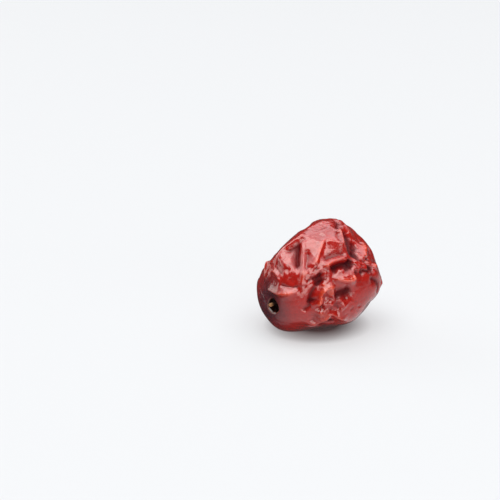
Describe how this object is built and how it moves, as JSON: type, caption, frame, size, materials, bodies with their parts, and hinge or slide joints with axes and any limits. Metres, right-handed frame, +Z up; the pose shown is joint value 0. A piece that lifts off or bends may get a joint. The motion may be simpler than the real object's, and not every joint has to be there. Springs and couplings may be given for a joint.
{
  "type": "dried jujube",
  "caption": "Whole dried jujube with deeply wrinkled glossy skin, a stem cavity with a woody stalk stub, and a small flat spot it rests on.",
  "frame": {"origin": "centre of the fruit's box on the surface that it rests on", "axes": "+X from the stem end to the tip, +Z up from the surface, -Y towards the side with the shelf-like fold"},
  "size_m": [0.0422, 0.0349, 0.0327],
  "materials": {
    "skin": "glossy wrinkled dark red fruit skin, duller and browner in the folds",
    "stalk": "dry fibrous broken stalk end"
  },
  "bodies": {
    "root": {"fruit": "skin", "stem_stub": "stalk"}
  },
  "joints": []
}
